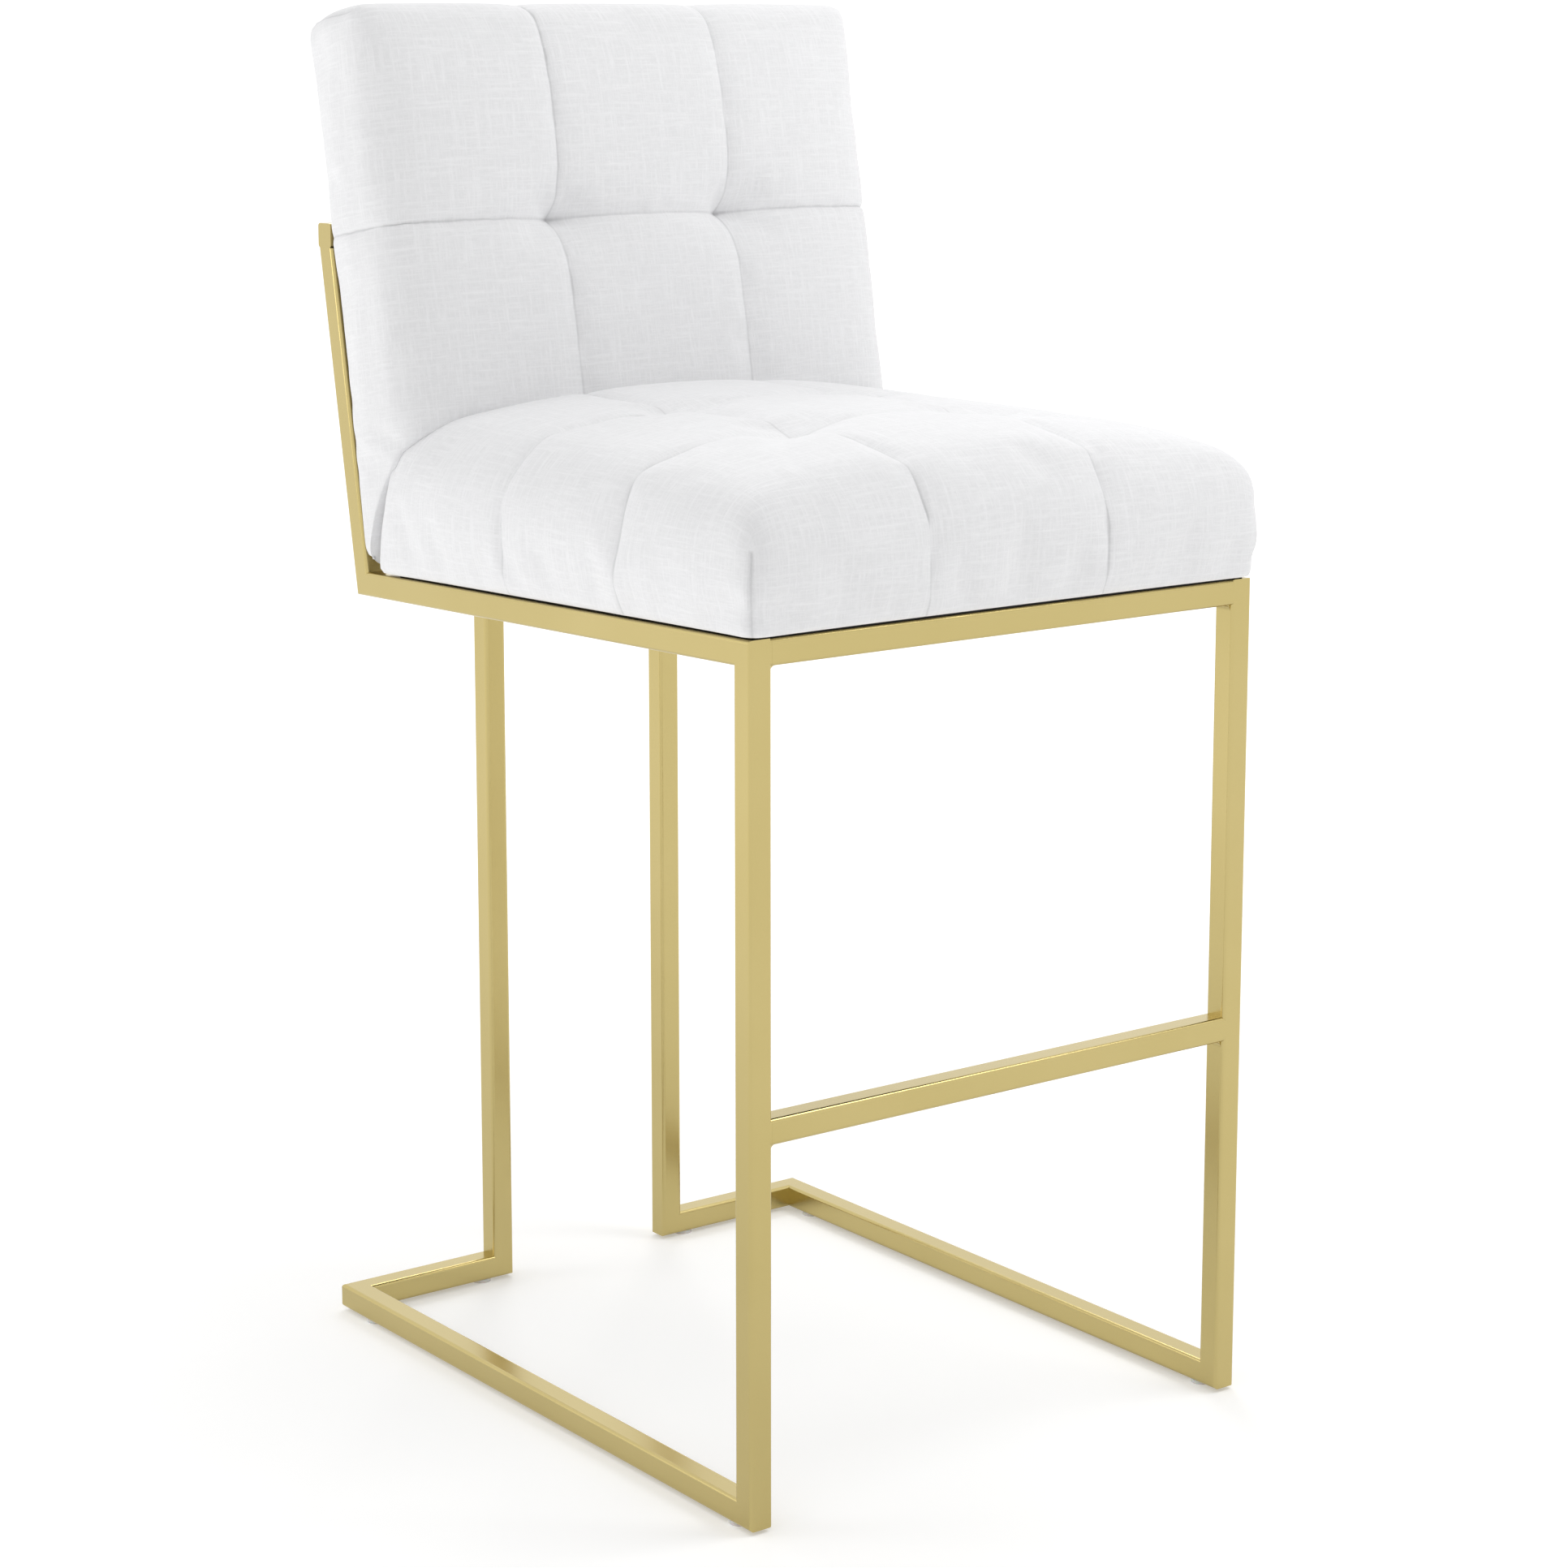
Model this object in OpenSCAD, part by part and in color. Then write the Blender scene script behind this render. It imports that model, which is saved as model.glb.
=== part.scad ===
/* [Frame] */
// Outside width of the tube frame
stool_width = 466; // [420:1:520]
// Depth of the base, from the front legs' front face to the rear legs' rear face
base_depth = 568; // [545:1:620]
// Depth of the seat frame, front face to the foot of the back uprights
seat_depth = 520; // [490:1:530]
// Height of the seat rails' top at the front
seat_rail_top = 638; // [560:1:680]
// Slope of the seat frame down towards the rear, in degrees
seat_tilt = 1.7; // [0:0.1:3]
// Height of the footrest bar's underside
footrest_height = 282; // [150:1:330]
// Distance between the rear legs' outer faces
rear_leg_span = 193; // [120:1:260]
// Height of the back cross rail's top
back_rail_top = 892; // [850:1:940]

/* [Tube] */
// Side of the square tube
tube = 19; // [17:1:22]
// Wall of the square tube
tube_wall = 1.5; // [1:0.1:2.5]
// Outer corner radius of the square tube
tube_corner = 2.6; // [1.8:0.1:3.5]

/* [Glides] */
// Height that a glide stands below the tube
glide_height = 3; // [2:0.5:5]
// Diameter of a glide's foot
glide_d = 16; // [12:1:18]

/* [Upholstery] */
// Width of both cushions
cushion_width = 474; // [466:1:486]
// Height of the seat cushion's top
seat_top = 754; // [730:1:765]
// Distance that the seat cushion stands proud of the front rail
seat_overhang = 6; // [0:1:10]
// Thickness of the back cushion
back_thickness = 96; // [76:1:106]
// Length of the back cushion along the uprights
back_length = 425; // [380:1:440]
// Thickness of the plywood boards
board_t = 12; // [9:1:15]

/* [Hidden] */
$fn = 48;
big = 4 * tube;

// Base and side frames, all as centre lines of the tube
side_x = stool_width / 2 - tube / 2;
inner_x = stool_width / 2 - tube;
rear_leg_x = rear_leg_span / 2 - tube / 2;
base_z = glide_height + tube / 2;
rear_y = base_depth - tube / 2;
front_y = tube / 2;
front_corner_z = seat_rail_top - front_y * tan(seat_tilt) - tube / 2 / cos(seat_tilt);

// Outer corner where the seat rail's underside meets the upright's rear face
back_foot_z = seat_rail_top - seat_depth * tan(seat_tilt) - tube / cos(seat_tilt);
upright_top_z = back_rail_top - tube;
back_lean = atan((base_depth - seat_depth) / (upright_top_z - back_foot_z));
turn = back_lean - seat_tilt;
back_corner_y = seat_depth + tube / 2 * (sin(seat_tilt) - cos(back_lean)) / (1 + sin(turn));
back_corner_z = back_foot_z + tube / 2 * (cos(seat_tilt) + sin(back_lean)) / (1 + sin(turn));
upright_top_y = back_corner_y + (upright_top_z - back_corner_z) * tan(back_lean);

// Upholstery
cushion_round = 20;
seat_cover_t = 1.5;
back_cover_t = tube * sin(back_lean);
cover_inset = 11;
fabric_lift = 0.5;
wrap = 14;
board_x = cushion_width / 2 - wrap;
seat_board_front = 6;
seat_board_rear = 462;
back_board_low = 45;
back_board_high = 404;
back_low = 22;
back_face = tube + back_cover_t;
cushion_gap = 4;
// The lower front of the back cushion is cut back where the seat cushion presses on it
back_nip_y = 484;
back_nip_low_z = 633;
back_nip_rise = 106;
back_nip_run = 38;

// Fixings
tab_w = 30;
tab_l = 40;
tab_t = 3;
screw_d = 6;
screw_l = 18;
head_d = 12;
head_t = 3.2;
clear_d = 6.6;
nut_barrel_d = 8;
nut_flange_d = 18;
nut_flange_t = 1.4;
nut_bore_d = 6.1;
hole_slack = 0.2;
fixing_x = inner_x - tab_w / 2;
seat_fixing_y = [70, 400];
back_fixing_z = [110, 235];

// Glides
glide_stem_d = 8;
glide_stem_l = 12;
runner_glide_y = [26, 528];
return_glide_x = 104;

// The origin is on the floor, under the middle of the whole stool
back_top_rear_y = seat_depth - (back_face + cushion_round) * cos(back_lean)
                + (back_low + back_length - cushion_round) * sin(back_lean) + cushion_round;
origin_y = (back_top_rear_y - seat_overhang) / 2;

// ---- Square tube, cut square or mitred ----

module rounded_square(side, radius) {
    square([side, side - 2 * radius], center = true);
    square([side - 2 * radius, side], center = true);
    for (x = [-1, 1], y = [-1, 1])
        translate([x, y] * (side / 2 - radius)) circle(radius);
}

module tube_section() {
    difference() {
        rounded_square(tube, tube_corner);
        rounded_square(tube - 2 * tube_wall, tube_corner - tube_wall);
    }
}

// Turns +Z to point along a direction
module aim(direction) {
    rotate([0, acos(direction.z / norm(direction)), atan2(direction.y, direction.x)]) children();
}

// Everything past a plane, on the side that its normal points to
module past_plane(point, normal) {
    translate(point) aim(normal) translate([-big / 2, -big / 2, 0]) cube(big);
}

// A length of tube between two centre-line points, each end cut by a plane
module tube_run(start, end, start_normal, end_normal, roll = 0) {
    along = end - start;
    difference() {
        translate(start)
            aim(along)
                rotate(roll)
                    translate([0, 0, -tube])
                        linear_extrude(norm(along) + 2 * tube) tube_section();
        past_plane(start, start_normal);
        past_plane(end, end_normal);
    }
}

// Normal of a mitre, pointing out of the tube that leaves the joint along one direction
function mitre(this_way, other_way) = other_way / norm(other_way) - this_way / norm(this_way);

up = [0, 0, 1];
back = [0, 1, 0];
right = [1, 0, 0];
rail_way = [0, cos(seat_tilt), -sin(seat_tilt)];
upright_way = [0, sin(back_lean), cos(back_lean)];

module place() {
    translate([0, -origin_y, 0]) children();
}

// Draws a part at the right-hand side, or mirrored to the left
module side(hand) {
    place() mirror([hand == "left" ? 1 : 0, 0, 0]) children();
}

// Origin on the seat rails' top plane at the front, +Y along the rails
module seat_plane() {
    translate([0, 0, seat_rail_top]) rotate([-seat_tilt, 0, 0]) children();
}

// Origin at the uprights' foot, +Z up along their rear face and -Y forwards
module back_plane() {
    translate([0, seat_depth, back_foot_z]) rotate([-back_lean, 0, 0]) children();
}

// ---- Welded frame ----

module front_leg(hand) {
    color("#CBB878") side(hand)
        tube_run([side_x, front_y, base_z], [side_x, front_y, front_corner_z],
                 mitre(up, back), mitre(-up, rail_way));
}

module base_runner(hand) {
    color("#C6B273") side(hand) difference() {
        tube_run([side_x, front_y, base_z], [side_x, rear_y, base_z],
                 mitre(back, up), mitre(-back, -right));
        for (y = runner_glide_y) glide_hole([side_x, y, 0]);
    }
}

module base_return(hand) {
    color("#C1AC6A") side(hand) difference() {
        tube_run([side_x, rear_y, base_z], [rear_leg_x, rear_y, base_z],
                 mitre(-right, -back), mitre(right, up));
        glide_hole([return_glide_x, rear_y, 0]);
    }
}

module rear_leg(hand) {
    color("#C1AC6A") side(hand)
        tube_run([rear_leg_x, rear_y, base_z], [rear_leg_x, rear_y, back_corner_z],
                 mitre(up, right), mitre(-up, -back));
}

module rear_spur(hand) {
    // The rear rail's rear face, met at the spur's own height
    rail_face_y = back_corner_y + tube / 2 / cos(seat_tilt);
    color("#B8A360") side(hand)
        tube_run([rear_leg_x, rail_face_y, back_corner_z], [rear_leg_x, rear_y, back_corner_z],
                 -rail_way, mitre(-back, -up));
}

module seat_rail(hand) {
    color("#C9B576") side(hand)
        tube_run([side_x, front_y, front_corner_z], [side_x, back_corner_y, back_corner_z],
                 mitre(rail_way, -up), mitre(-rail_way, upright_way));
}

module back_upright(hand) {
    color("#BFAA66") side(hand)
        tube_run([side_x, back_corner_y, back_corner_z], [side_x, upright_top_y, upright_top_z],
                 mitre(upright_way, -rail_way), up);
}

// A tube across the stool, cut square
module cross_tube(half_length, y, z, roll = 0) {
    place() tube_run([-half_length, y, z], [half_length, y, z], -right, right, roll);
}

module front_seat_rail() {
    color("#D5C486") cross_tube(inner_x, front_y, front_corner_z);
}

module rear_seat_rail() {
    color("#B8A360") cross_tube(inner_x, back_corner_y, back_corner_z, seat_tilt);
}

module footrest_bar() {
    color("#D0BE80") cross_tube(inner_x, front_y, footrest_height + tube / 2);
}

module back_cross_rail() {
    color("#BFAA66") cross_tube(stool_width / 2 - tube_wall, rear_y, back_rail_top - tube / 2);
}

module cross_rail_end_plates() {
    for (hand = ["left", "right"])
        color("#BFAA66") side(hand)
            translate([stool_width / 2 - tube_wall, rear_y, back_rail_top - tube / 2])
                rotate([0, 90, 0]) linear_extrude(tube_wall) rounded_square(tube, tube_corner);
}

// ---- Glides ----

module glide_hole(foot) {
    translate(foot) cylinder(d = glide_stem_d, h = glide_height + tube / 2);
}

module glide(foot) {
    translate(foot) {
        cylinder(d = glide_d, h = glide_height);
        cylinder(d = glide_stem_d, h = glide_height + glide_stem_l);
    }
}

module foot_glides() {
    color("#B9BDC0") for (hand = ["left", "right"]) {
        for (y = runner_glide_y) side(hand) glide([side_x, y, 0]);
        side(hand) glide([return_glide_x, rear_y, 0]);
    }
}

// ---- Fixings: each set stands on its plane, with +Z into the board ----

module at_seat_fixings() {
    for (hand = ["left", "right"], y = seat_fixing_y)
        side(hand) seat_plane() translate([fixing_x, y, 0]) children();
}

module at_back_fixings() {
    for (hand = ["left", "right"], z = back_fixing_z)
        side(hand) back_plane() translate([fixing_x, -tube, z]) rotate([90, 0, 0]) children();
}

module tab() {
    translate([0, 0, -tube_corner - tab_t]) difference() {
        translate([-tab_w / 2, -tab_l / 2, 0]) cube([tab_w, tab_l, tab_t]);
        translate([0, 0, -tab_t]) cylinder(d = clear_d, h = 3 * tab_t);
    }
}

module screw() {
    translate([0, 0, -tube_corner - tab_t]) {
        translate([0, 0, -head_t]) cylinder(d = head_d, h = head_t);
        cylinder(d = screw_d, h = screw_l);
    }
}

// The nut's flange lies in a counterbore on the far face of the board
module tee_nut(cover_t) {
    difference() {
        union() {
            translate([0, 0, cover_t + board_t - nut_flange_t]) cylinder(d = nut_flange_d, h = nut_flange_t);
            translate([0, 0, cover_t + 2]) cylinder(d = nut_barrel_d, h = board_t - 2);
        }
        cylinder(d = nut_bore_d, h = cover_t + board_t + 1);
    }
}

module tee_nut_hole(cover_t) {
    cylinder(d = nut_barrel_d + hole_slack, h = cover_t + board_t + 1);
    translate([0, 0, cover_t + board_t - nut_flange_t]) cylinder(d = nut_flange_d + hole_slack, h = board_t);
}

module seat_tabs() {
    color("#B8A360") at_seat_fixings() tab();
}

module back_tabs() {
    color("#B8A360") at_back_fixings() tab();
}

module seat_screws() {
    color("#9DA0A3") at_seat_fixings() screw();
}

module back_screws() {
    color("#9DA0A3") at_back_fixings() screw();
}

module seat_tee_nuts() {
    color("#B9B49A") at_seat_fixings() tee_nut(seat_cover_t);
}

module back_tee_nuts() {
    color("#B9B49A") at_back_fixings() tee_nut(back_cover_t);
}

// ---- Boards and dust covers ----

// A plate on the seat plane, grown by a margin all round
module seat_plate(from_z, thickness, margin = 0) {
    seat_plane()
        translate([-board_x - margin, seat_board_front - margin, from_z])
            cube([2 * (board_x + margin), seat_board_rear - seat_board_front + 2 * margin, thickness]);
}

// A plate in front of the uprights, grown by a margin all round
module back_plate(from_front, thickness, margin = 0) {
    back_plane()
        translate([-board_x - margin, -tube - from_front - thickness, back_board_low - margin])
            cube([2 * (board_x + margin), thickness, back_board_high - back_board_low + 2 * margin]);
}

module seat_board() {
    color("#D8BD8C") difference() {
        place() seat_plate(seat_cover_t, board_t);
        at_seat_fixings() tee_nut_hole(seat_cover_t);
    }
}

module back_board() {
    color("#D8BD8C") difference() {
        place() back_plate(back_cover_t, board_t);
        at_back_fixings() tee_nut_hole(back_cover_t);
    }
}

module seat_dust_cover() {
    color("#1E1E1F") difference() {
        place() seat_plate(0, seat_cover_t, wrap - cover_inset);
        at_seat_fixings() cylinder(d = nut_barrel_d, h = board_t);
    }
}

// The cloth is pressed thin where the cross rail bears on it
module back_dust_cover() {
    color("#1E1E1F") difference() {
        place() back_plate(0, back_cover_t, wrap - cover_inset);
        at_back_fixings() translate([0, 0, -1]) cylinder(d = nut_barrel_d, h = board_t);
        place() translate([-stool_width / 2, base_depth - tube - hole_slack, upright_top_z - hole_slack])
            cube([stool_width, tube, tube + 2 * hole_slack]);
    }
}

// ---- Cushions: plain closed solids with a pocket for the board ----

// A block that is round on every edge, from the corners of its side profile
module soft_block(profile) {
    hull() for (x = [-1, 1], corner = profile)
        translate([x * (cushion_width / 2 - cushion_round), corner.x, corner.y])
            sphere(cushion_round, $fn = 28);
}

function seat_rail_z(y) = seat_rail_top - y * tan(seat_tilt);
function nip_y(z) = back_nip_y - (z - back_nip_low_z) * back_nip_run / back_nip_rise;
// Row coordinates of a point in the back plane
function back_point(y, z) = [
    seat_depth + y * cos(back_lean) + z * sin(back_lean),
    back_foot_z - y * sin(back_lean) + z * cos(back_lean)
];

module seat_cushion() {
    r = cushion_round;
    low = seat_cover_t + fabric_lift + r;
    front = r - seat_overhang;
    low_rear = nip_y(back_nip_low_z) - cushion_gap - r;
    top_rear = nip_y(seat_top - r) - cushion_gap - r;
    color("#F2F2F3") difference() {
        place() soft_block([
            [front, seat_rail_z(front) + low],
            [front, seat_top - r],
            [top_rear, seat_top - r],
            [low_rear, seat_rail_z(low_rear) + low]
        ]);
        place() seat_plate(0, seat_cover_t + board_t);
    }
}

module back_cushion() {
    r = cushion_round;
    rear = -back_face - r;
    front = -back_face - back_thickness + r;
    top = back_low + back_length - r;
    nip_front_z = back_nip_low_z + back_nip_rise;
    color("#F2F2F3") difference() {
        place() soft_block([
            back_point(rear, back_low + r),
            back_point(rear, top),
            back_point(front, top),
            [nip_y(nip_front_z) + r, nip_front_z],
            [nip_y(back_nip_low_z) + r, back_nip_low_z + r]
        ]);
        place() back_plate(back_cover_t, board_t);
    }
}

front_leg("left");  // left_front_leg
front_leg("right");  // right_front_leg
base_runner("left");  // left_base_runner
base_runner("right");  // right_base_runner
base_return("left");  // left_base_return
base_return("right");  // right_base_return
rear_leg("left");  // left_rear_leg
rear_leg("right");  // right_rear_leg
rear_spur("left");  // left_rear_spur
rear_spur("right");  // right_rear_spur
seat_rail("left");  // left_seat_rail
seat_rail("right");  // right_seat_rail
front_seat_rail();
rear_seat_rail();
back_upright("left");  // left_back_upright
back_upright("right");  // right_back_upright
back_cross_rail();
cross_rail_end_plates();
footrest_bar();
seat_tabs();
back_tabs();
seat_board();
back_board();
seat_screws();
back_screws();
seat_tee_nuts();
back_tee_nuts();
seat_dust_cover();
back_dust_cover();
seat_cushion();
back_cushion();
foot_glides();
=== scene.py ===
"""Bar stool with footrest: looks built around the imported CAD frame. Metres, +Z up, front faces -Y."""

import math
from types import SimpleNamespace

import bmesh
import bpy
import numpy as np
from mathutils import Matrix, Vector


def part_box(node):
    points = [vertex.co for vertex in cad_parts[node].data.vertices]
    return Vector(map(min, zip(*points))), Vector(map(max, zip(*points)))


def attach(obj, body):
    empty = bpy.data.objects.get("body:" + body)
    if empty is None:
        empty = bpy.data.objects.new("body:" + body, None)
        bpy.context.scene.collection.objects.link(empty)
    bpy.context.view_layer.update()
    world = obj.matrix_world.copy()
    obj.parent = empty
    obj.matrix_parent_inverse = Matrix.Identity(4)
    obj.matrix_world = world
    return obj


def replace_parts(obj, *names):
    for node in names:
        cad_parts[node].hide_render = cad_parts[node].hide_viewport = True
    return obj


MM = 0.001

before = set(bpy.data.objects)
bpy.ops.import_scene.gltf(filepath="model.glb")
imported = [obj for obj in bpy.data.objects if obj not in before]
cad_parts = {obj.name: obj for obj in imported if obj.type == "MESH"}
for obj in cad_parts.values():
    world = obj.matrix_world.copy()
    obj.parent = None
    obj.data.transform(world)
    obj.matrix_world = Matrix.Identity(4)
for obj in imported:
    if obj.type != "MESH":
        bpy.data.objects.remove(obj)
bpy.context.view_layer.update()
scene = bpy.context.scene


# ---- Places worked out from the frame ----


def node_box(name):
    lo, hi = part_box(name)
    return np.array(lo), np.array(hi)


leg_lo, leg_hi = node_box("right_front_leg")
rail_lo, rail_hi = node_box("right_seat_rail")
cross_lo, cross_hi = node_box("back_cross_rail")

TUBE = leg_hi[0] - leg_lo[0]
FRONT_Y = leg_lo[1]
RAIL_TILT = math.atan((rail_hi[2] - rail_lo[2] - TUBE) / (rail_hi[1] - FRONT_Y))
BACK_FOOT = np.array((0, rail_hi[1], rail_lo[2]))
BACK_LEAN = math.atan((cross_hi[1] - rail_hi[1]) / (cross_lo[2] - rail_lo[2]))
BACK_UP = np.array((0, math.sin(BACK_LEAN), math.cos(BACK_LEAN)))
BACK_FORWARD = np.array((0, -math.cos(BACK_LEAN), math.sin(BACK_LEAN)))


def node_span(name, axis):
    """The lowest and highest place of a node along an axis from the foot of the back."""
    points = np.array([v.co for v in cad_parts[name].data.vertices])
    along = (points - BACK_FOOT) @ axis
    return along.min(), along.max()


def rail_z(y):
    """Height of the seat rails' top at a depth."""
    return rail_hi[2] - (y - FRONT_Y) * math.tan(RAIL_TILT)


# ---- Cushion shape ----
# A cushion is cut like a box cover: one cross-shaped piece of cloth. Its face runs across (a) and along (b),
# turns over a round shoulder and comes down as four walls, sewn to each other at the corners.

CROWN_FLATNESS = 0.7
WALL_BOW = 4
# Shares of a wall's belly and tuck that are left at its corners; the belly ends a little above the hem
CORNER_BELLY = 0.4
CORNER_TUCK = 0.3
BELLY_END = 1.05


def cloth_lines(half, seams, form):
    """The cage's lines across one direction of the cloth.

    Each is (place in plan, share of the way down the wall, place on the flat cloth).
    """
    turns = max(4, round(form.reach * math.pi / 2 / form.step))
    arc = form.bend * math.pi / 2
    flat = half - form.reach
    stops = [-flat, *seams, flat]
    lines = []
    for start, end in zip(stops, stops[1:]):
        count = max(2, round((end - start) / form.step))
        for k in range(count):
            place = start + (end - start) * k / count
            lines.append((place, 0, place))
    for seam in seams:
        for beside in (-form.stitch, form.stitch):
            lines.append((seam + beside, 0, seam + beside))
    lines.append((flat, 0, flat))
    for side in (-1, 1):
        for k in range(1, turns + 1):
            share = k / turns
            place = flat + form.reach * math.sin(share * math.pi / 2)
            lines.append((side * place, 0, side * (flat + arc * share)))
        for k in range(1, form.rings + 1):
            level = k / form.rings
            lines.append((side * half, level, side * (flat + arc + form.depth * level)))
    return sorted(lines, key=lambda line: line[2])


def round_corner(a, b, form):
    """Bends the plan's square corners into arcs."""
    radius = form.corner
    u = (abs(a) - form.half_a + radius) / radius
    v = (abs(b) - form.half_b + radius) / radius
    if min(u, v) <= 0:
        return a, b
    far = max(u, v)
    turn = math.pi / 4 * min(u, v) / far
    if v > u:
        turn = math.pi / 2 - turn
    a = math.copysign(form.half_a - radius + radius * far * math.cos(turn), a)
    b = math.copysign(form.half_b - radius + radius * far * math.sin(turn), b)
    return a, b


def clamp(value, most):
    return max(-most, min(most, value))


def outward(a, b, form):
    """The way a wall faces, in plan."""
    u = max(0, abs(a) - form.half_a + form.corner)
    v = max(0, abs(b) - form.half_b + form.corner)
    way = Vector((math.copysign(u, a), math.copysign(v, b)))
    return way.normalized()


def face_height(a, b, form):
    """Height of the bare face over the plan: crowned, and round at its shoulders."""
    turn_a = max(0, 1 - (form.half_a - abs(a)) / form.reach)
    turn_b = max(0, 1 - (form.half_b - abs(b)) / (form.reach if b < 0 else form.high_reach))
    turn = min(1, (turn_a**form.square + turn_b**form.square) ** (1 / form.square))
    bow_a, bow_low, bow_high = form.bow
    bow_b = bow_low if b < 0 else bow_high
    crown = max(0, 1 - (abs(a) / form.half_a) ** bow_a) * max(0, 1 - (abs(b) / form.half_b) ** bow_b)
    return form.edge + form.crown * crown**CROWN_FLATNESS - form.shoulder * (1 - math.sqrt(1 - turn**2))


def cage_point(line_a, line_b, form):
    """Where the bare cage has a point, in the cushion's own plane."""
    a, b = round_corner(line_a[0], line_b[0], form)
    level = max(line_a[1], line_b[1])
    if level == 0:
        return a, b, face_height(a, b, form)
    from_corner = form.half_b - abs(b) if line_a[1] > 0 else form.half_a - abs(a)
    middle = 1 - (1 - from_corner / form.half_a) ** WALL_BOW
    way = outward(a, b, form)
    belly = form.belly * math.sin(math.pi * min(1, level * BELLY_END)) ** 2
    belly *= CORNER_BELLY + (1 - CORNER_BELLY) * middle
    under = max(0, (level - form.tuck_from) / (1 - form.tuck_from))
    tuck = form.tuck * (1 - math.sqrt(1 - under**2)) * (CORNER_TUCK + (1 - CORNER_TUCK) * middle)
    top = form.edge - form.shoulder
    base = form.base(b) + form.lift * middle
    height = top + (base - top) * level
    return a + way.x * (belly - tuck), b + way.y * (belly - tuck), height


def seam_gap(line_a, line_b, form):
    """Distances in plan to the nearest seam and to the nearest tuft."""
    near_a = min(abs(line_a[0] - s) for s in form.seams_a)
    near_b = min(abs(line_b[0] - s) for s in form.seams_b)
    if line_a[1] > 0:
        return near_b, form.half_a
    if line_b[1] > 0:
        return near_a, form.half_a
    return min(near_a, near_b), math.hypot(near_a * form.tuft_squeeze, near_b)


def corner_gap(line_a, line_b, form):
    """Distance to the seam that joins two walls at a corner."""
    from_a, from_b = form.half_a - abs(line_a[0]), form.half_b - abs(line_b[0])
    return max(from_a, from_b) if min(from_a, from_b) == 0 else form.half_a


def cushion_cage(form):
    """The cage as a bmesh in the cushion's own plane, with the cloth's places, seams and pins on it."""
    lines_a = cloth_lines(form.half_a, form.seams_a, form)
    lines_b = cloth_lines(form.half_b, form.seams_b, form)
    mesh = bmesh.new()
    seam = mesh.verts.layers.float.new("seam")
    corner = mesh.verts.layers.float.new("corner")
    tuft = mesh.verts.layers.float.new("tuft")
    level = mesh.verts.layers.float.new("level")
    cloth = mesh.loops.layers.float_vector.new("cloth")
    points = {}
    for i, line_a in enumerate(lines_a):
        for j, line_b in enumerate(lines_b):
            if min(line_a[1], line_b[1]) > 0:
                continue
            vert = mesh.verts.new(cage_point(line_a, line_b, form))
            vert[seam], vert[tuft] = seam_gap(line_a, line_b, form)
            vert[corner] = corner_gap(line_a, line_b, form)
            vert[level] = max(line_a[1], line_b[1])
            points[i, j] = vert
    for i in range(len(lines_a) - 1):
        for j in range(len(lines_b) - 1):
            keys = [(i, j), (i + 1, j), (i + 1, j + 1), (i, j + 1)]
            if all(key in points for key in keys):
                face = mesh.faces.new([points[key] for key in keys])
                for loop, (p, q) in zip(face.loops, keys):
                    loop[cloth] = (lines_a[p][2], lines_b[q][2], 0)
    bmesh.ops.remove_doubles(mesh, verts=mesh.verts, dist=0.01 * MM)
    close_underside(mesh, form, level)
    mesh.normal_update()
    draw_seams_in(mesh, form, (seam, corner, tuft, level))
    return mesh


def close_underside(mesh, form, level):
    """Turns the cloth in under the walls, leaves a pocket for the board and closes the pocket's roof."""
    turned_in = []
    rings = (
        (form.hem - form.hem_width, form.hem_rise),
        (form.hem, form.hem_rise),
        (form.hem, form.pocket),
    )
    for inset, rise in rings:
        rim = [edge for edge in mesh.edges if edge.is_boundary]
        made = bmesh.ops.extrude_edge_only(mesh, edges=rim)["geom"]
        for vert in made:
            if isinstance(vert, bmesh.types.BMVert):
                way = outward(vert.co.x, vert.co.y, form)
                vert.co.x = clamp(vert.co.x, form.half_a - form.corner) + way.x * (form.corner - inset)
                vert.co.y = clamp(vert.co.y, form.half_b - form.corner) + way.y * (form.corner - inset)
                vert[level] = 1
                turned_in.append((vert, rise))
    low, high = form.opening
    for vert, rise in turned_in:
        vert.co.y = low + (high - low) * (1 + vert.co.y / (form.half_b - form.hem)) / 2
        vert.co.z = form.base(vert.co.y) + rise
    roof = bmesh.ops.holes_fill(mesh, edges=[edge for edge in mesh.edges if edge.is_boundary])["faces"]
    bmesh.ops.triangulate(mesh, faces=roof)
    bmesh.ops.recalc_face_normals(mesh, faces=mesh.faces)


def draw_seams_in(mesh, form, layers):
    """Pulls the cloth in along its seams, at its corners and, most of all, at the tufts."""
    seam, corner, tuft, level = layers
    pulls = []
    for vert in mesh.verts:
        share = form.wall_share + (1 - form.wall_share) * max(0, vert.normal.z) ** 2
        channel = form.channel * share * math.exp(-vert[seam] / form.channel_reach)
        pinch = form.tuft * math.exp(-vert[tuft] / form.tuft_reach)
        dart = form.dart * math.exp(-vert[corner] / form.channel_reach) * (1 - vert[level])
        pulls.append((channel + pinch + dart) * (1 - vert[level] ** 3))
    for vert, pull in zip(mesh.verts, pulls):
        vert.co -= vert.normal * pull


def make_cushion(name, form, to_world):
    """The finished cushion: cage, puffed cloth, one subdivision and stitched seams."""
    mesh = cushion_cage(form)
    for vert in mesh.verts:
        vert.co = to_world(*vert.co)
    mesh.normal_update()
    data = bpy.data.meshes.new(name)
    mesh.to_mesh(data)
    mesh.free()
    piece = bpy.data.objects.new(name, data)
    scene.collection.objects.link(piece)
    puff(piece, form)
    subdivide(piece)
    stitch(piece, form)
    data = piece.data
    data.polygons.foreach_set("use_smooth", [True] * len(data.polygons))
    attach(piece, "root")
    return piece


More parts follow.
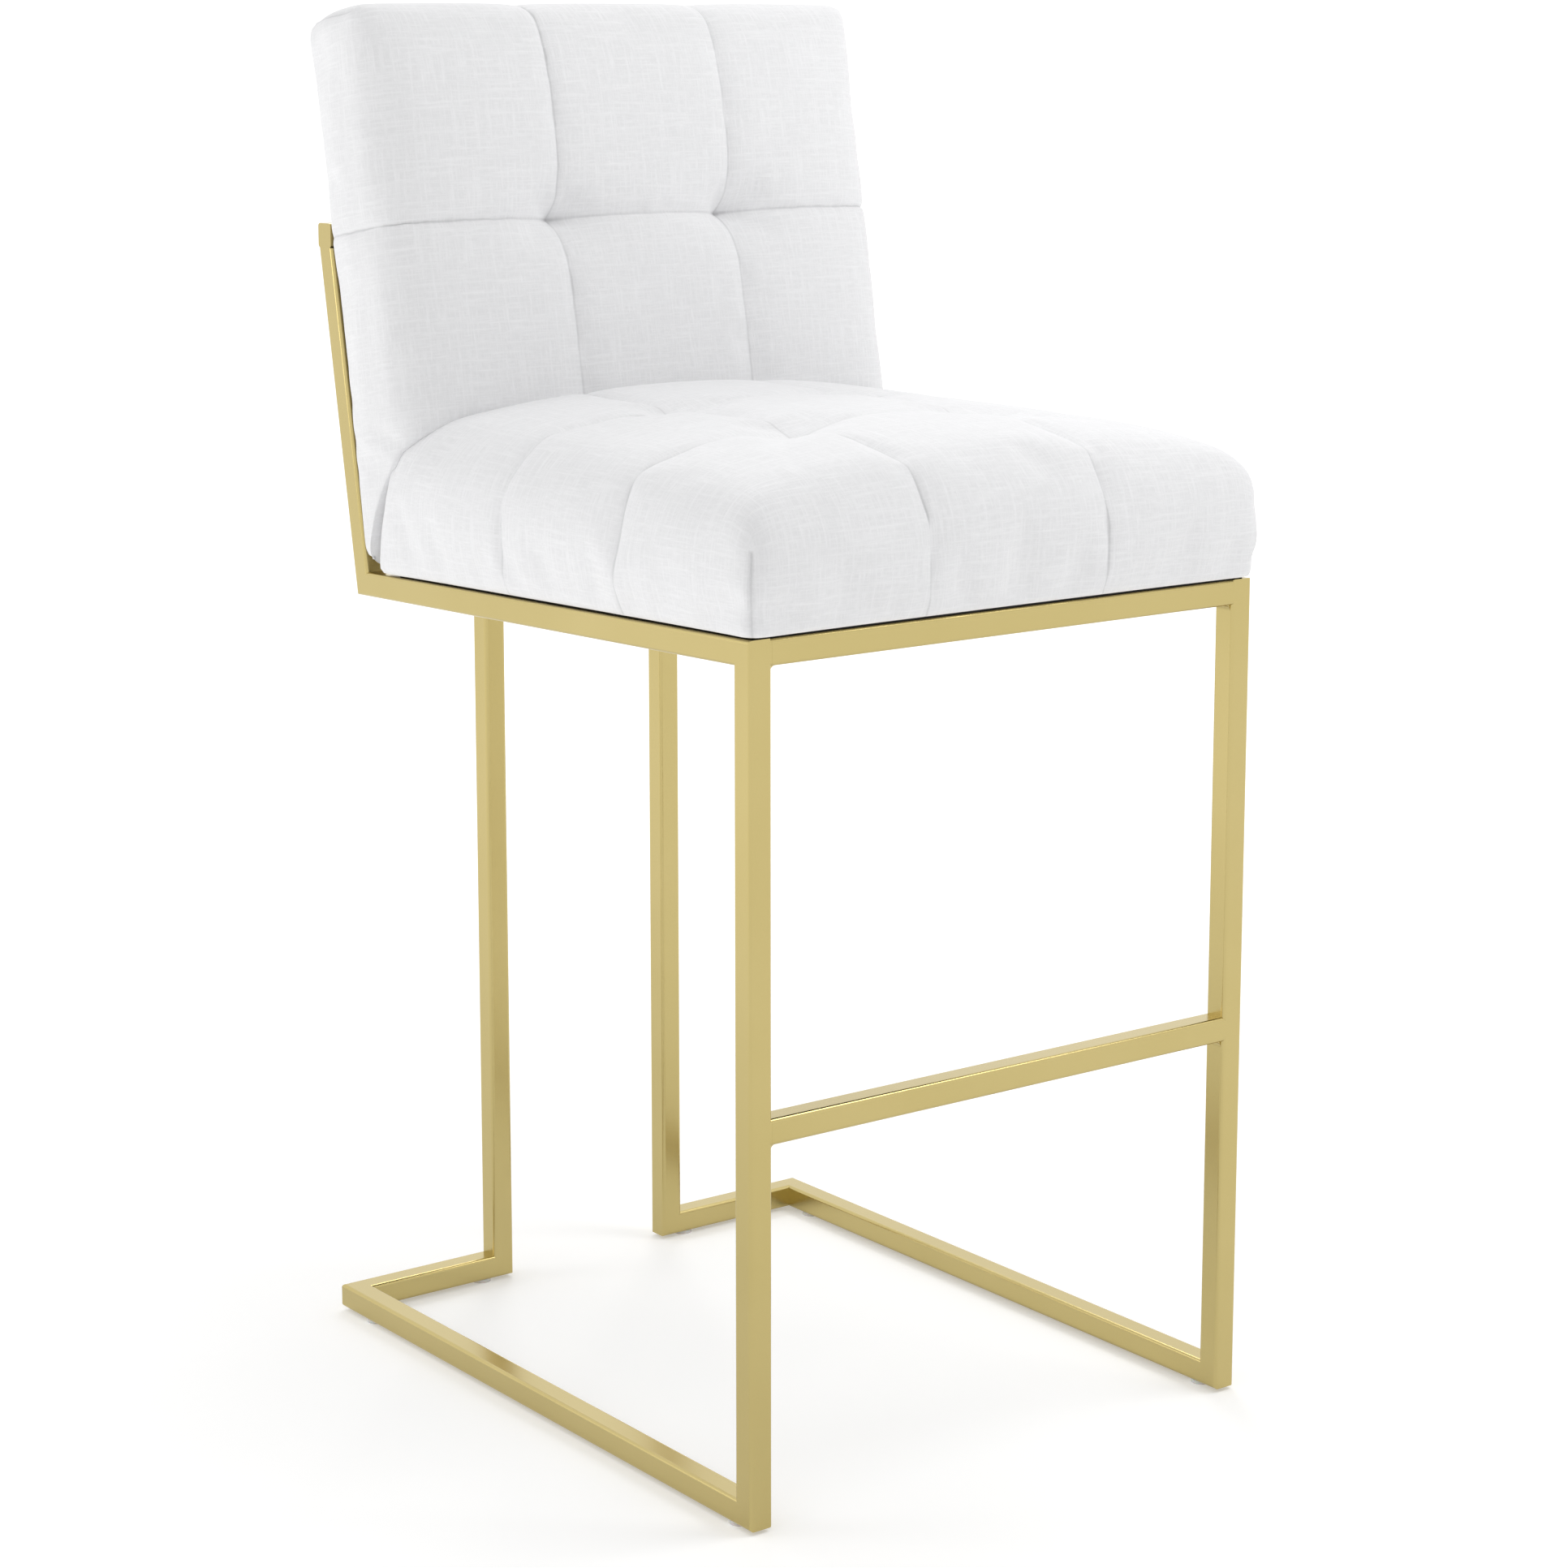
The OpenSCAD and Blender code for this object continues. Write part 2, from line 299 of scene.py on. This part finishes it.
def read(attribute, width=1):
    """A mesh attribute's numbers as an array."""
    field = "vector" if width == 3 else "value"
    numbers = np.zeros(len(attribute.data) * width)
    attribute.data.foreach_get(field, numbers)
    return numbers.reshape(-1, width) if width > 1 else numbers


def coordinates(data):
    return read(data.attributes["position"], 3)


PUFF_FRAMES = 20


def pin_weights(piece, form):
    """How firmly each point is held: at tufts and on the underside wholly, along seams in part."""
    data = piece.data
    seam, tuft = read(data.attributes["seam"]), read(data.attributes["tuft"])
    level = read(data.attributes["level"])
    weights = np.where(seam < form.stitch / 2, form.seam_hold, 0.0)
    weights[tuft < 2 * form.stitch] = 1
    weights[level > 0.99] = 1
    weights[form.pressed(coordinates(data))] = 1
    return weights


def puff(piece, form):
    """Blows the cover up with Blender's cloth, with the seams held, and keeps the result as the mesh."""
    data = piece.data
    start = coordinates(data)
    group = piece.vertex_groups.new(name="held")
    for index, weight in enumerate(pin_weights(piece, form)):
        group.add([index], float(weight), "REPLACE")
    cloth = piece.modifiers.new("cloth", "CLOTH")
    cloth.settings.vertex_group_mass = group.name
    cloth.settings.use_pressure = True
    cloth.settings.uniform_pressure_force = form.pressure
    cloth.settings.effector_weights.gravity = 0
    cloth.settings.quality = 6
    cloth.settings.shrink_min = form.shrink
    cloth.point_cache.frame_start = 1
    cloth.point_cache.frame_end = PUFF_FRAMES
    for number in range(1, PUFF_FRAMES + 1):
        scene.frame_set(number)
    shown = piece.evaluated_get(bpy.context.evaluated_depsgraph_get())
    moved = coordinates(shown.data) - start
    size = np.linalg.norm(moved, axis=1, keepdims=True)
    print(piece.name, "cloth moved by", size.max() / MM, "mm at most,", size.mean() / MM, "on average")
    moved *= np.minimum(1, form.most / np.maximum(size, 1e-9))
    piece.modifiers.remove(cloth)
    piece.vertex_groups.remove(group)
    data.attributes["position"].data.foreach_set("vector", (start + moved).ravel())
    scene.frame_set(1)


def subdivide(piece):
    """One subdivision, applied."""
    piece.modifiers.new("smooth", "SUBSURF").levels = 1
    graph = bpy.context.evaluated_depsgraph_get()
    shown = piece.evaluated_get(graph)
    finer = bpy.data.meshes.new_from_object(shown, preserve_all_data_layers=True, depsgraph=graph)
    piece.modifiers.clear()
    old, piece.data = piece.data, finer
    bpy.data.meshes.remove(old)
    finer.name = piece.name


def stitch(piece, form):
    """Sinks a fine groove along every seam."""
    data = piece.data
    normals = np.zeros(len(data.vertices) * 3)
    data.vertices.foreach_get("normal", normals)
    normals = normals.reshape(-1, 3)
    level = read(data.attributes["level"])
    gap = np.minimum(read(data.attributes["seam"]), read(data.attributes["corner"]))
    depth = form.groove * np.exp(-((gap / form.stitch) ** 2)) * (level < 0.97)
    moved = coordinates(data) - normals * depth[:, None]
    data.attributes["position"].data.foreach_set("vector", moved.ravel())


# ---- The two cushions ----

seat_lo, seat_hi = node_box("seat_cushion")
board_lo, board_hi = node_box("seat_board")
back_low, back_high = node_span("back_cushion", BACK_UP)
back_front = node_span("back_cushion", BACK_FORWARD)[1]
back_rear = node_span("back_board", BACK_FORWARD)[0]

TUFT_X = 82 * MM
SEAT_TUFTS_Y = (FRONT_Y + 150 * MM, FRONT_Y + 299 * MM)
SEAT_REAR = seat_hi[1] + 12 * MM
SEAT_MIDDLE = (seat_lo[1] + SEAT_REAR) / 2
SEAT_LIFT = 0.3 * MM
SEAT_REAR_LEAN = 0.25
BACK_MIDDLE = (back_low + back_high) / 2
BACK_TUFT = 0.6 * (back_high - back_low)
SEAT_PRESSED = 28 * MM
BACK_PRESSED = 60 * MM
NIP_FOOT, NIP_SLOPE, NIP_BEND = 8 * MM, 0.50, 37


def seat_point(a, b, z):
    """A point of the seat cushion, whose rear wall leans back to lie on the back cushion."""
    rear = max(0, b / (SEAT_REAR - SEAT_MIDDLE))
    lean = SEAT_REAR_LEAN * (z - rail_z(SEAT_REAR))
    return a, SEAT_MIDDLE + b - rear**2 * lean, z


def back_point(a, b, w):
    """A point of the back cushion, thinner where the seat cushion lies against it."""
    up = b + BACK_MIDDLE - back_low
    room = NIP_FOOT + NIP_SLOPE * up + NIP_BEND * up**3
    w = min(w, room)
    along_back = BACK_FOOT + BACK_UP * (b + BACK_MIDDLE) + BACK_FORWARD * (back_rear + w)
    return Vector((a, 0, 0)) + Vector(along_back)


def seat_cushion():
    """Three by three panels, crowned from side to side and towards the front."""
    form = SimpleNamespace(
        half_a=(seat_hi[0] - seat_lo[0]) / 2,
        half_b=SEAT_REAR - SEAT_MIDDLE,
        seams_a=(-TUFT_X, TUFT_X),
        seams_b=[y - SEAT_MIDDLE for y in SEAT_TUFTS_Y],
        base=lambda b: rail_z(SEAT_MIDDLE + b) + SEAT_LIFT,
        pressed=lambda points: points[:, 1] > SEAT_REAR - SEAT_PRESSED,
        edge=730 * MM,
        crown=31 * MM,
        bow=(2, 4, 14),
        reach=32 * MM,
        high_reach=14 * MM,
        shoulder=30 * MM,
        bend=31 * MM,
        depth=66 * MM,
        square=3.4,
        corner=17 * MM,
        step=8 * MM,
        rings=8,
        belly=4 * MM,
        tuck=3.5 * MM,
        tuck_from=0.86,
        lift=0.9 * MM,
        opening=[y - SEAT_MIDDLE for y in (board_lo[1], board_hi[1])],
        hem=14 * MM,
        hem_width=5 * MM,
        hem_rise=1.5 * MM,
        pocket=13.5 * MM,
        dart=2.5 * MM,
        stitch=1.6 * MM,
        groove=1.2 * MM,
        channel=1.6 * MM,
        channel_reach=9 * MM,
        wall_share=0.9,
        tuft=9 * MM,
        tuft_reach=13 * MM,
        tuft_squeeze=0.8,
        seam_hold=0.2,
        pressure=1,
        shrink=-0.02,
        most=5 * MM,
    )
    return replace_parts(make_cushion("seat_upholstery", form, seat_point), "seat_cushion")


def back_cushion():
    """Three by two panels, squarer at its edges than the seat."""
    thick = back_front - back_rear
    form = SimpleNamespace(
        half_a=(seat_hi[0] - seat_lo[0]) / 2,
        half_b=(back_high - back_low) / 2,
        seams_a=(-TUFT_X, TUFT_X),
        seams_b=[BACK_TUFT + back_low - BACK_MIDDLE],
        base=lambda b: 0,
        pressed=lambda points: points[:, 2] < rail_hi[2] + BACK_PRESSED,
        edge=thick - 17 * MM,
        crown=26 * MM,
        bow=(4, 6, 6),
        reach=18 * MM,
        high_reach=18 * MM,
        shoulder=18 * MM,
        bend=18 * MM,
        depth=66 * MM,
        square=3.4,
        corner=16 * MM,
        step=8 * MM,
        rings=8,
        belly=3 * MM,
        tuck=5 * MM,
        tuck_from=0.84,
        lift=0,
        opening=[up - BACK_MIDDLE for up in node_span("back_board", BACK_UP)],
        hem=14 * MM,
        hem_width=5 * MM,
        hem_rise=0.2 * MM,
        pocket=12.2 * MM,
        dart=1 * MM,
        stitch=1.6 * MM,
        groove=1.2 * MM,
        channel=2.5 * MM,
        channel_reach=9 * MM,
        wall_share=0.3,
        tuft=30 * MM,
        tuft_reach=17 * MM,
        tuft_squeeze=0.6,
        seam_hold=0.6,
        pressure=1.5,
        shrink=-0.02,
        most=3 * MM,
    )
    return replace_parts(make_cushion("back_upholstery", form, back_point), "back_cushion")


# ---- Welds ----
# The rails butt against the legs. Each joint is filled flush where the leg's edge is round, and has a small
# fillet in its corners.

EDGE_ROUND = 2.6 * MM
WELD_SINK = 1.2 * MM
FILLET = 4.5 * MM
ARC_STEPS = 6


def skin(mesh, rings):
    """Joins rings of points into a closed solid."""
    verts = [[mesh.verts.new(point) for point in ring] for ring in rings]
    count = len(rings[0])
    for near, far in zip(verts, verts[1:]):
        for k in range(count):
            after = (k + 1) % count
            mesh.faces.new([near[k], near[after], far[after], far[k]])
    mesh.faces.new(verts[0])
    mesh.faces.new(verts[-1])


def tube_outline(lo, hi, inset):
    """A tube's rounded square outline, as (y, z) points, smaller by inset."""
    points = []
    for quarter, (y, z) in enumerate(((hi[1], hi[2]), (lo[1], hi[2]), (lo[1], lo[2]), (hi[1], lo[2]))):
        centre_y = y - math.copysign(EDGE_ROUND, y - (lo[1] + hi[1]) / 2)
        centre_z = z - math.copysign(EDGE_ROUND, z - (lo[2] + hi[2]) / 2)
        for k in range(ARC_STEPS + 1):
            turn = math.pi / 2 * (quarter + k / ARC_STEPS)
            reach = EDGE_ROUND - inset
            points.append((centre_y + reach * math.cos(turn), centre_z + reach * math.sin(turn)))
    return points


def flush_weld(mesh, lo, hi, side):
    """Carries a rail's outline on into the leg's rounded edge, so that the joint is flush."""
    end = side * hi[0]
    rings = []
    for reach, inset in ((-WELD_SINK, 0.05 * MM), (EDGE_ROUND, 0.02 * MM), (EDGE_ROUND + 0.5 * MM, 0.6 * MM)):
        rings.append([(end + side * reach, y, z) for y, z in tube_outline(lo, hi, inset)])
    skin(mesh, rings)


def corner_fillet(mesh, corner, along_x, along_z, lo, hi):
    """A concave fillet in the corner between a leg and a rail."""
    x, z = corner
    sunk_x, sunk_z = x - along_x * WELD_SINK, z - along_z * WELD_SINK
    outline = [(sunk_x, sunk_z), (x + along_x * FILLET, sunk_z)]
    for k in range(ARC_STEPS + 1):
        turn = math.pi / 2 * k / ARC_STEPS
        arc_x = x + along_x * FILLET * (1 - math.sin(turn))
        arc_z = z + along_z * FILLET * (1 - math.cos(turn))
        outline.append((arc_x, arc_z))
    outline.append((sunk_x, z + along_z * FILLET))
    rings = [[(px, y, pz) for px, pz in outline] for y in (lo[1] + EDGE_ROUND, hi[1] - EDGE_ROUND)]
    skin(mesh, rings)


def welds():
    """One piece with the welds at both ends of the front rail and of the footrest bar."""
    mesh = bmesh.new()
    for name in ("front_seat_rail", "footrest_bar"):
        lo, hi = node_box(name)
        for side in (-1, 1):
            flush_weld(mesh, lo, hi, side)
            corner_fillet(mesh, (side * hi[0], lo[2]), -side, -1, lo, hi)
    bmesh.ops.recalc_face_normals(mesh, faces=mesh.faces)
    data = bpy.data.meshes.new("frame_welds")
    mesh.to_mesh(data)
    mesh.free()
    data.polygons.foreach_set("use_smooth", [True] * len(data.polygons))
    data.materials.append(LOOKS["gold_frame"])
    piece = bpy.data.objects.new("frame_welds", data)
    scene.collection.objects.link(piece)
    piece.modifiers.new("edges", "EDGE_SPLIT").split_angle = math.radians(35)
    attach(piece, "root")


# ---- Materials ----


class Look:
    """A procedural material. Inputs are numbers, colours, or what another node gives."""

    def __init__(self, name, **finish):
        self.material = bpy.data.materials.new(name)
        self.material.use_nodes = True
        self.tree = self.material.node_tree
        self.surface = self.tree.nodes["Principled BSDF"]
        self.set(self.surface, finish)

    def set(self, node, inputs):
        for name, value in inputs.items():
            socket = node.inputs[name if isinstance(name, int) else name.replace("_", " ")]
            if isinstance(value, bpy.types.NodeSocket):
                self.tree.links.new(value, socket)
            else:
                socket.default_value = value

    def add(self, kind, settings=None, output=0, **inputs):
        node = self.tree.nodes.new("ShaderNode" + kind)
        for name, value in (settings or {}).items():
            setattr(node, name, value)
        self.set(node, inputs)
        return node.outputs[output]

    def math(self, operation, first, second=0.0):
        node = self.tree.nodes.new("ShaderNodeMath")
        node.operation = operation
        self.set(node, {0: first, 1: second})
        return node.outputs[0]

    def stretch(self, place, scale):
        """The same place in a space stretched by scale along each axis."""
        return self.add("Mapping", Vector=place, Scale=scale)

    def noise(self, place, scale, detail=2.0, roughness=0.5):
        return self.add("TexNoise", Vector=place, Scale=scale, Detail=detail, Roughness=roughness)

    def ramp(self, value, low, high):
        """Turns a value into a colour between two, over its whole range."""
        node = self.tree.nodes.new("ShaderNodeValToRGB")
        node.color_ramp.elements[0].color = (*low, 1)
        node.color_ramp.elements[1].color = (*high, 1)
        self.set(node, {0: value})
        return node

    def place(self):
        return self.add("TexCoord", output=3)

    def bump(self, height, distance, strength):
        return self.add("Bump", Height=height, Distance=distance, Strength=strength)


def linen():
    """White slubby linen: uneven threads both ways, with a longer and thicker slub here and there, and
    painted shade along the seams.
    """
    look = Look("linen", Roughness=0.9, Specular_IOR_Level=0.2, Sheen_Weight=0.1, Sheen_Roughness=0.5)
    place = look.add("Attribute", {"attribute_name": "cloth"}, output=1)
    layers = []
    for scale, drawn_out, strength in ((900, 0.12, 0.5), (430, 0.05, 0.5)):
        warp = look.noise(look.stretch(place, (1, drawn_out, 1)), scale, detail=2)
        weft = look.noise(look.stretch(place, (drawn_out, 1, 1)), scale * 0.9, detail=2)
        layers.append(look.math("MULTIPLY", look.math("MAXIMUM", warp, weft), strength))
    height = look.math("ADD", *layers)
    weave = look.add("MapRange", Value=height, From_Min=0.46, From_Max=0.68, To_Min=0.84, To_Max=0.915)
    seam = look.add("Attribute", {"attribute_name": "seam"}, output=2)
    corner = look.add("Attribute", {"attribute_name": "corner"}, output=2)
    from_seam = look.math("MINIMUM", seam, corner)
    # Painted shade: the cloth's colour darkens within about a millimetre of every seam and corner seam,
    # standing in for the shade in the seam grooves.
    painted_seam_shade = look.add("MapRange", Value=from_seam, From_Min=0.2 * MM, From_Max=1.1 * MM, To_Min=0.88)
    shade = look.math("MULTIPLY", weave, painted_seam_shade)
    tint = look.add("CombineColor", Red=shade, Green=shade, Blue=look.math("MULTIPLY", shade, 1.01))
    look.set(look.surface, {"Base Color": tint, "Normal": look.bump(height, 0.5 * MM, 0.7)})
    return look.material


def gold():
    """Satin gold plating, a little uneven in its polish."""
    look = Look("satin_gold", Metallic=1.0)
    place = look.place()
    cloud = look.noise(place, 9, detail=3)
    grain = look.noise(place, 700, detail=2)
    tone = look.ramp(cloud, (0.475, 0.385, 0.155), (0.53, 0.435, 0.195))
    polish = look.add("MapRange", Value=cloud, To_Min=0.17, To_Max=0.27)
    look.set(look.surface, {"Base Color": tone.outputs[0], "Roughness": polish})
    look.set(look.surface, {"Normal": look.bump(grain, 0.03 * MM, 0.2)})
    return look.material


def black_cloth():
    """Black non-woven cloth with faint fibres."""
    look = Look("black_dust_cloth", Roughness=0.95, Sheen_Weight=0.2)
    place = look.place()
    fibre = look.noise(look.stretch(place, (1, 0.15, 1)), 1500, detail=3)
    tone = look.ramp(fibre, (0.008, 0.008, 0.009), (0.035, 0.035, 0.037))
    look.set(look.surface, {"Base Color": tone.outputs[0], "Normal": look.bump(fibre, 0.3 * MM, 0.6)})
    return look.material


def plywood():
    """Raw birch plywood, its grain running across the stool."""
    look = Look("plywood", Roughness=0.65)
    place = look.place()
    figure = look.noise(look.stretch(place, (1, 0.06, 0.06)), 60, detail=5, roughness=0.6)
    pores = look.noise(look.stretch(place, (1, 0.03, 0.03)), 900, detail=2)
    grain = look.math("ADD", look.math("MULTIPLY", figure, 0.75), look.math("MULTIPLY", pores, 0.25))
    tone = look.ramp(grain, (0.32, 0.20, 0.10), (0.72, 0.53, 0.33))
    look.set(look.surface, {"Base Color": tone.outputs[0], "Normal": look.bump(pores, 0.2 * MM, 0.4)})
    return look.material


def zinc():
    """Bright zinc plate, cloudy as it comes."""
    look = Look("zinc_plate", Metallic=1.0)
    place = look.place()
    cloud = look.noise(place, 250, detail=3)
    tone = look.ramp(cloud, (0.42, 0.44, 0.46), (0.66, 0.68, 0.70))
    polish = look.add("MapRange", Value=cloud, To_Min=0.25, To_Max=0.5)
    look.set(look.surface, {"Base Color": tone.outputs[0], "Roughness": polish})
    return look.material


def glide_plastic():
    """Pale frosted plastic."""
    look = Look("glide_plastic", Roughness=0.35, Subsurface_Weight=0.3, Subsurface_Scale=2 * MM)
    place = look.place()
    cloud = look.noise(place, 400, detail=2)
    tone = look.ramp(cloud, (0.62, 0.62, 0.60), (0.80, 0.80, 0.78))
    look.set(look.surface, {"Base Color": tone.outputs[0], "Normal": look.bump(cloud, 0.1 * MM, 0.2)})
    return look.material


def floor_look():
    """White, and glowing more the farther it lies from the stool, so that no horizon shows."""
    look = Look("studio_floor", Roughness=0.8, Specular_IOR_Level=0.1)
    distance = look.add("VectorMath", {"operation": "LENGTH"}, output=1, Vector=look.place())
    reach = {"From_Min": 0.3, "From_Max": 3, "To_Min": FLOOR_DIM, "To_Max": FLOOR_BRIGHT}
    glow = look.add("MapRange", Value=distance, **reach)
    tone = look.ramp(look.noise(look.place(), 3), (0.79, 0.79, 0.79), (0.81, 0.81, 0.81))
    look.set(look.surface, {"Base Color": tone.outputs[0]})
    look.set(look.surface, {"Emission Color": (1, 1, 1, 1), "Emission Strength": glow})
    return look.material


# ---- Studio ----

FLOOR_HALF = 40
FLOOR_DIM, FLOOR_BRIGHT = 0.31, 0.60
WORLD_FROM, WORLD_DIM, WORLD_BRIGHT, WORLD_SEEN = -0.15, 0.08, 1.05, 1.2
BRIGHT_SIDE = (-0.05, 0.2, 0.98)


def studio():
    """A white floor without an end, soft light from all round and three softboxes."""
    far = FLOOR_HALF
    corners = [(-far, -far, 0), (far, -far, 0), (far, far, 0), (-far, far, 0)]
    stage_sheet("studio_floor", corners, floor_look())
    soft_light("left_softbox", (-2.6, 1.5, 1.3), 1.2, 11)
    soft_light("rear_softbox", (1.2, 1.8, 2.6), 0.8, 12)
    soft_light("front_softbox", (0.9, -0.8, 2.0), 0.8, 9)
    scene.world = studio_world()
    scene.view_settings.view_transform = "Standard"


def stage_sheet(name, corners, material):
    mesh = bpy.data.meshes.new(name)
    mesh.from_pydata(corners, [], [(0, 1, 2, 3)])
    mesh.materials.append(material)
    sheet = bpy.data.objects.new(name, mesh)
    scene.collection.objects.link(sheet)


def studio_world():
    """Soft light that grows towards the top; plain white where the camera or a gloss sees it."""
    world = bpy.data.worlds.new("studio")
    world.use_nodes = True
    nodes, links = world.node_tree.nodes, world.node_tree.links
    toward = nodes.new("ShaderNodeVectorMath")
    toward.operation = "DOT_PRODUCT"
    toward.inputs[1].default_value = Vector(BRIGHT_SIDE).normalized()
    links.new(nodes.new("ShaderNodeTexCoord").outputs["Generated"], toward.inputs[0])
    light = nodes.new("ShaderNodeMapRange")
    light.inputs["From Min"].default_value = WORLD_FROM
    light.inputs["To Min"].default_value = WORLD_DIM
    light.inputs["To Max"].default_value = WORLD_BRIGHT
    links.new(toward.outputs["Value"], light.inputs["Value"])
    strength = nodes.new("ShaderNodeMapRange")
    strength.inputs["To Max"].default_value = WORLD_SEEN
    path = nodes.new("ShaderNodeLightPath")
    seen = nodes.new("ShaderNodeMath")
    seen.operation = "MAXIMUM"
    links.new(path.outputs["Is Camera Ray"], seen.inputs[0])
    links.new(path.outputs["Is Glossy Ray"], seen.inputs[1])
    links.new(seen.outputs["Value"], strength.inputs["Value"])
    links.new(light.outputs["Result"], strength.inputs["To Min"])
    links.new(strength.outputs["Result"], nodes["Background"].inputs["Strength"])
    nodes["Background"].inputs["Color"].default_value = (1, 1, 1, 1)
    return world


def soft_light(name, place, size, power):
    """A square softbox that faces the middle of the stool."""
    lamp = bpy.data.lights.new(name, "AREA")
    lamp.shape = "SQUARE"
    lamp.size = size
    lamp.energy = power
    light = bpy.data.objects.new(name, lamp)
    light.location = place
    aim = Vector((0, 0, 0.55)) - Vector(place)
    light.rotation_euler = aim.to_track_quat("-Z", "Y").to_euler()
    scene.collection.objects.link(light)


LENS_MM = 82.7
LENS_SHIFT = -0.08
EYE = (-1.645, -2.200, 1.048)
EYE_DOWN, EYE_TURN = 10.05, -36.94


def camera():
    """The photograph's viewpoint: to the front left, a little above the seat."""
    data = bpy.data.cameras.new("camera")
    data.lens = LENS_MM
    data.shift_y = LENS_SHIFT
    eye = bpy.data.objects.new("camera", data)
    eye.location = EYE
    eye.rotation_euler = (math.radians(90 - EYE_DOWN), 0, math.radians(EYE_TURN))
    scene.collection.objects.link(eye)
    scene.camera = eye


LOOKS = {
    "gold_frame": gold(),
    "black_cloth": black_cloth(),
    "plywood": plywood(),
    "zinc_hardware": zinc(),
    "glide_plastic": glide_plastic(),
    "linen_upholstery": linen(),
}


def dress_frame():
    """Gives every CAD node the finish of its slot."""
    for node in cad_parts.values():
        for place in node.material_slots:
            place.material = LOOKS[place.material.name.split(".")[0]]


dress_frame()
welds()
for cushion in (seat_cushion(), back_cushion()):
    cushion.data.materials.clear()
    cushion.data.materials.append(LOOKS["linen_upholstery"])
studio()
camera()
